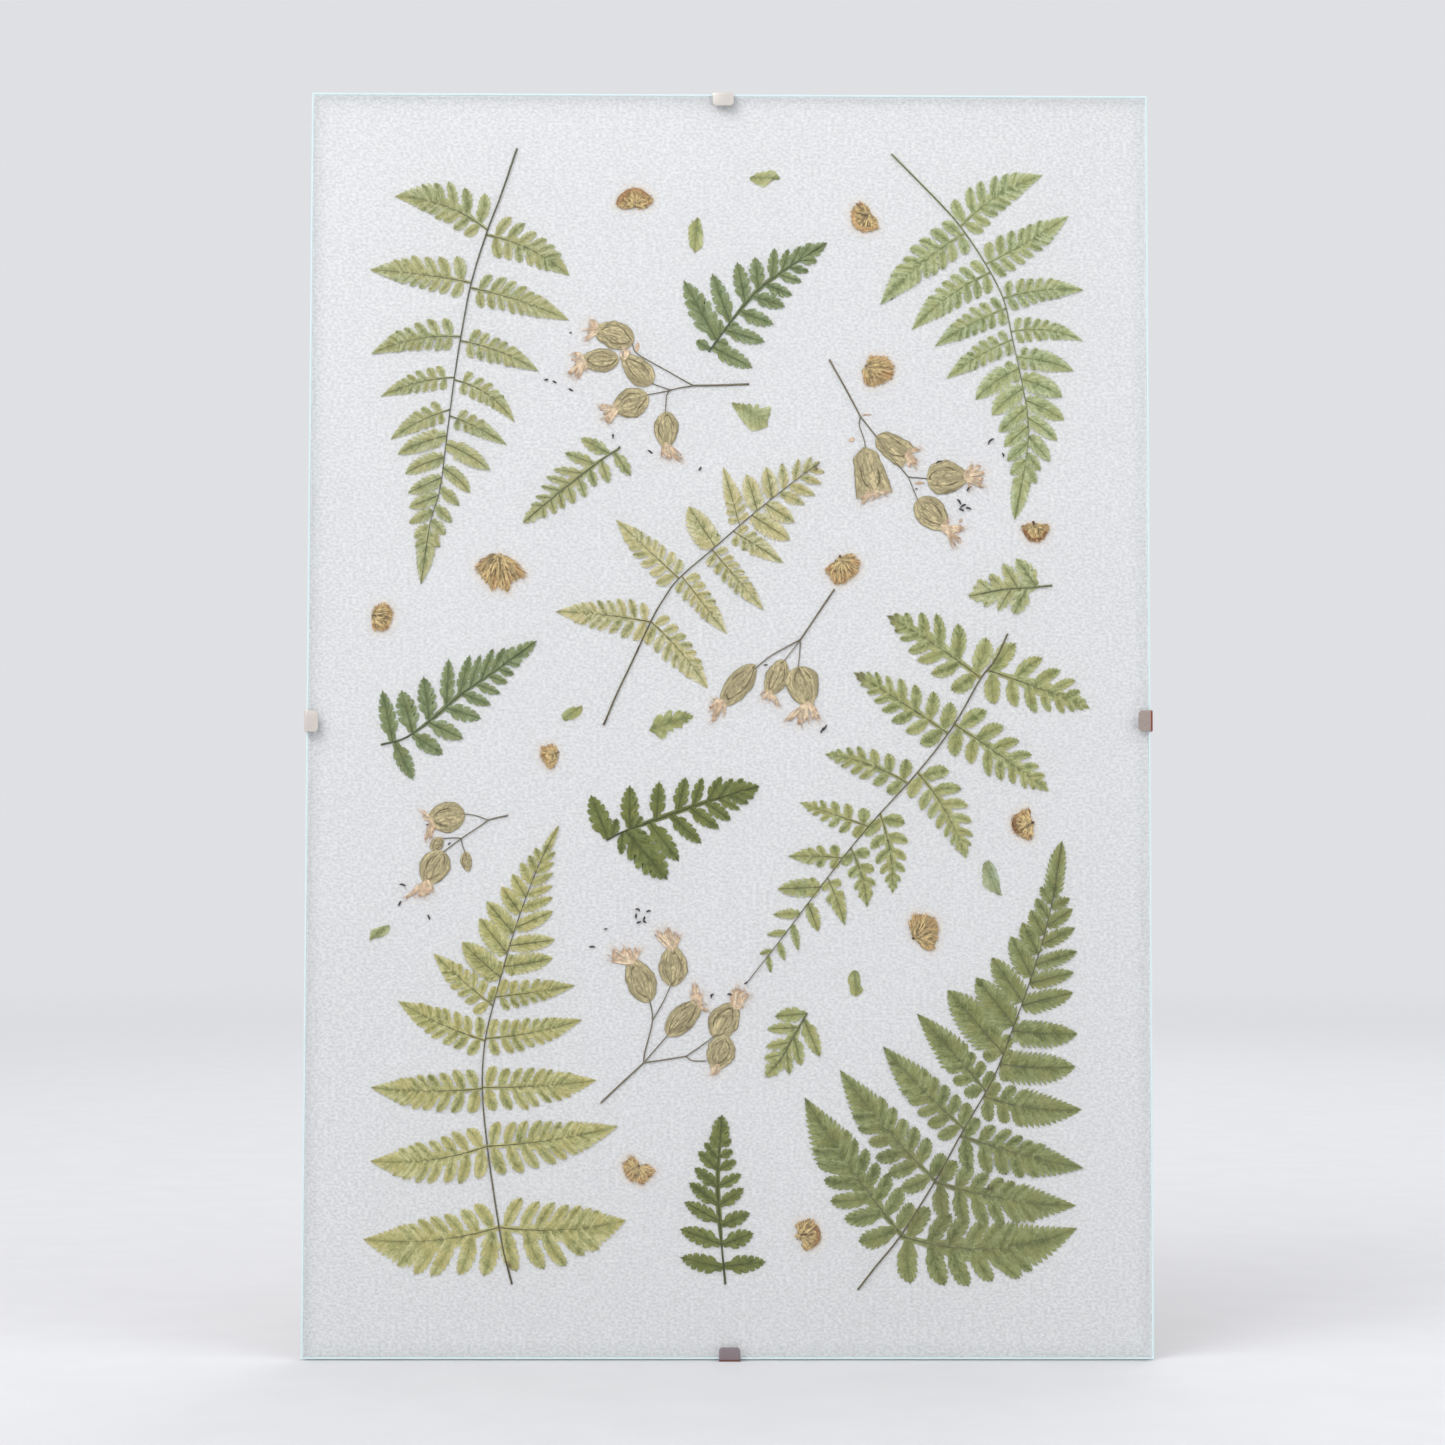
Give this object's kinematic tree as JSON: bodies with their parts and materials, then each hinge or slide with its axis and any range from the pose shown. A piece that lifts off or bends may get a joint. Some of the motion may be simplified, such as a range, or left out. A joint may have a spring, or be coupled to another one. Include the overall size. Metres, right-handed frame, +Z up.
{
  "type": "pressed flower frame",
  "caption": "Frameless glass clip frame for hanging on a wall, holding dried fern fronds, campion sprigs and pressed flower heads on white felt-like paper.",
  "frame": {"origin": "the top of the hanger's notch, at the hanger's rear face, where the frame hangs on its nail", "axes": "+X to the right along the picture as it is seen, +Y backward into the wall, +Z up; the picture faces -Y"},
  "size_m": [0.402, 0.0122, 0.602],
  "materials": {
    "glass": "clear float glass with pale aqua cut edges",
    "paper": "thick white felt-like handmade paper",
    "board": "brown hardboard",
    "clip_steel": "nickel-plated spring steel, a little tarnished",
    "hanger_steel": "zinc-plated pressed steel",
    "fern": "dried pressed fern, yellow-green",
    "dark_fern": "dried pressed fern, deep green",
    "straw": "dried pressed flower head, straw brown",
    "campion": "dried pressed campion, grey-olive and khaki"
  },
  "bodies": {
    "root": {"glass_pane": "glass", "paper_mount": "paper", "back_board": "board", "clip_top": "clip_steel", "clip_bottom": "clip_steel", "clip_left": "clip_steel", "clip_right": "clip_steel", "hanger_plate": "hanger_steel", "rivet_left": "hanger_steel", "rivet_right": "hanger_steel", "frond_top_left": "fern", "frond_top_right": "fern", "frond_centre": "fern", "frond_right_middle": "fern", "frond_bottom_left": "fern", "frond_bottom_right": "fern", "leaf_toothed": "fern", "leaf_scrap_1": "fern", "leaf_scrap_2": "fern", "leaf_scrap_3": "fern", "leaf_scrap_4": "fern", "leaf_scrap_5": "fern", "leaf_scrap_6": "fern", "leaf_scrap_7": "fern", "pinna_top_centre": "dark_fern", "pinna_upper_left": "dark_fern", "pinna_left_middle": "dark_fern", "pinna_centre": "dark_fern", "pinna_bottom_centre": "dark_fern", "pinna_right_pale": "dark_fern", "pinna_small_sprig": "dark_fern", "flower_head_1": "straw", "flower_head_2": "straw", "flower_head_3": "straw", "flower_head_4": "straw", "flower_head_5": "straw", "flower_head_6": "straw", "flower_head_7": "straw", "flower_head_8": "straw", "flower_head_9": "straw", "flower_head_10": "straw", "flower_head_11": "straw", "flower_head_12": "straw", "campion_1": "campion", "campion_2": "campion", "campion_3": "campion", "campion_4": "campion", "campion_5": "campion"}
  },
  "joints": []
}
